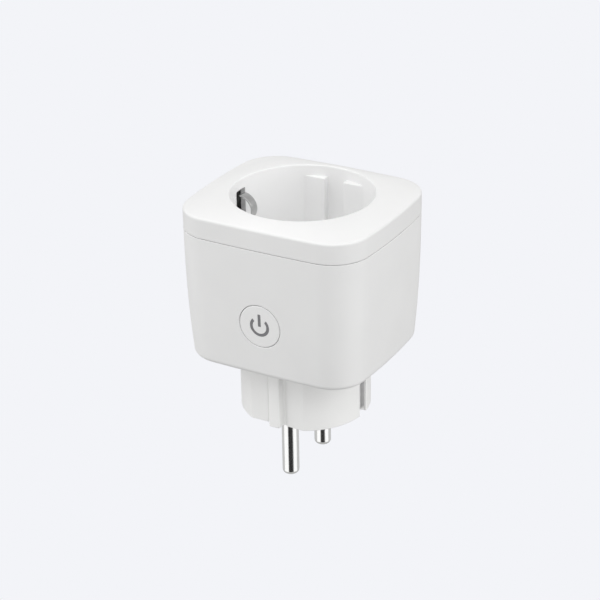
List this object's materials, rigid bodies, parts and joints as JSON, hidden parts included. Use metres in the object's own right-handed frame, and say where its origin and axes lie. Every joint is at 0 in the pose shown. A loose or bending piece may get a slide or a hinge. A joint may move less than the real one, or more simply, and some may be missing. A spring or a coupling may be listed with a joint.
{
  "type": "smart plug",
  "caption": "Plug-in smart socket adaptor: round earthed pin plug below, flared box body with a round recessed socket in its domed face and a flush power button on the front.",
  "frame": {"origin": "centre of the plug's flat engagement face, midway between the two pins", "axes": "+Z from the plug to the socket mouth, -Y to the face with the button, the two pins lie along Y and the earth contacts along X"},
  "size_m": [0.0568, 0.0508, 0.0832],
  "materials": {
    "shell_white": "fine matt moulded grain",
    "cover_white": "fine satin moulded grain",
    "plug_white": "satin moulded",
    "button_white": "satin moulded",
    "icon_grey": "translucent dark grey light guide",
    "pin_nickel": "bright nickel plate, turned",
    "earth_steel": "nickel-plated spring strip",
    "contact_brass": "stamped brass",
    "holder_plastic": "moulded, unfilled",
    "shutter_plastic": "moulded, smooth",
    "spring_wire": "drawn wire",
    "switch_black": "moulded",
    "switch_grey": "moulded",
    "led_lens": "clear moulded lens",
    "board_green": "solder-masked glass laminate",
    "module_blue": "solder-masked glass laminate",
    "shield_tin": "tinned sheet",
    "header_black": "moulded",
    "relay_blue": "moulded cover",
    "relay_black": "moulded base",
    "coil_copper": "enamelled copper winding",
    "relay_iron": "plated soft iron",
    "capacitor_yellow": "moulded case",
    "capacitor_sleeve": "shrunk sleeve",
    "ferrite": "ferrite drum with wire",
    "varistor_blue": "dipped coating",
    "resistor_green": "flameproof coating",
    "chip_black": "moulded package",
    "shunt_metal": "bare resistance alloy",
    "screw_steel": "zinc plated"
  },
  "bodies": {
    "housing": {"main_shell": "shell_white", "top_cover": "cover_white", "plug_base": "plug_white", "live_pin": "pin_nickel", "neutral_pin": "pin_nickel", "earth_strap_left": "earth_steel", "earth_strap_right": "earth_steel", "earth_bridge": "contact_brass", "live_socket_contact": "contact_brass", "neutral_socket_contact": "contact_brass", "contact_holder": "holder_plastic", "shutter_spring": "spring_wire", "tact_switch_body": "switch_black", "status_led": "led_lens", "control_board": "board_green", "wifi_module_board": "module_blue", "wifi_shield_can": "shield_tin", "board_header": "header_black", "power_board": "board_green", "relay_base": "relay_black", "relay_case": "relay_blue", "relay_coil": "coil_copper", "relay_yoke": "relay_iron", "relay_fixed_contact": "contact_brass", "filter_capacitor": "capacitor_yellow", "bulk_capacitors": "capacitor_sleeve", "filter_inductor": "ferrite", "surge_varistor": "varistor_blue", "fuse_resistor": "resistor_green", "bridge_rectifier": "chip_black", "power_converter_chip": "chip_black", "metering_chip": "chip_black", "metering_shunt": "shunt_metal", "case_screws": "screw_steel"},
    "button": {"power_button": "button_white", "power_icon_lens": "icon_grey"},
    "switch_plunger": {"tact_switch_plunger": "switch_grey"},
    "shutter": {"safety_shutter": "shutter_plastic"},
    "armature": {"relay_armature": "relay_iron", "relay_contact_blade": "contact_brass"}
  },
  "joints": [
    {"name": "button_press", "type": "slide", "parent": "housing", "child": "button", "axis": [0, 1, 0], "range_m": [0, 0.0003], "stiffness_N_per_m": 1700},
    {"name": "plunger_press", "type": "slide", "parent": "housing", "child": "switch_plunger", "axis": [0, 1, 0], "range_m": [0, 0.0003]},
    {"name": "shutter_turn", "type": "hinge", "parent": "housing", "child": "shutter", "pos_m": [0, 0, 0.0434], "axis": [0, 0, 1], "range_deg": [0, 36], "stiffness_Nm_per_rad": 0.002},
    {"name": "armature_pivot", "type": "hinge", "parent": "housing", "child": "armature", "pos_m": [0.0109, 0.0081, 0.03755], "axis": [1, 0, 0], "range_deg": [0, 2.5], "stiffness_Nm_per_rad": 0.01}
  ],
  "couplings": [
    {"joint": "plunger_press", "follows": "button_press", "ratio": 1}
  ]
}
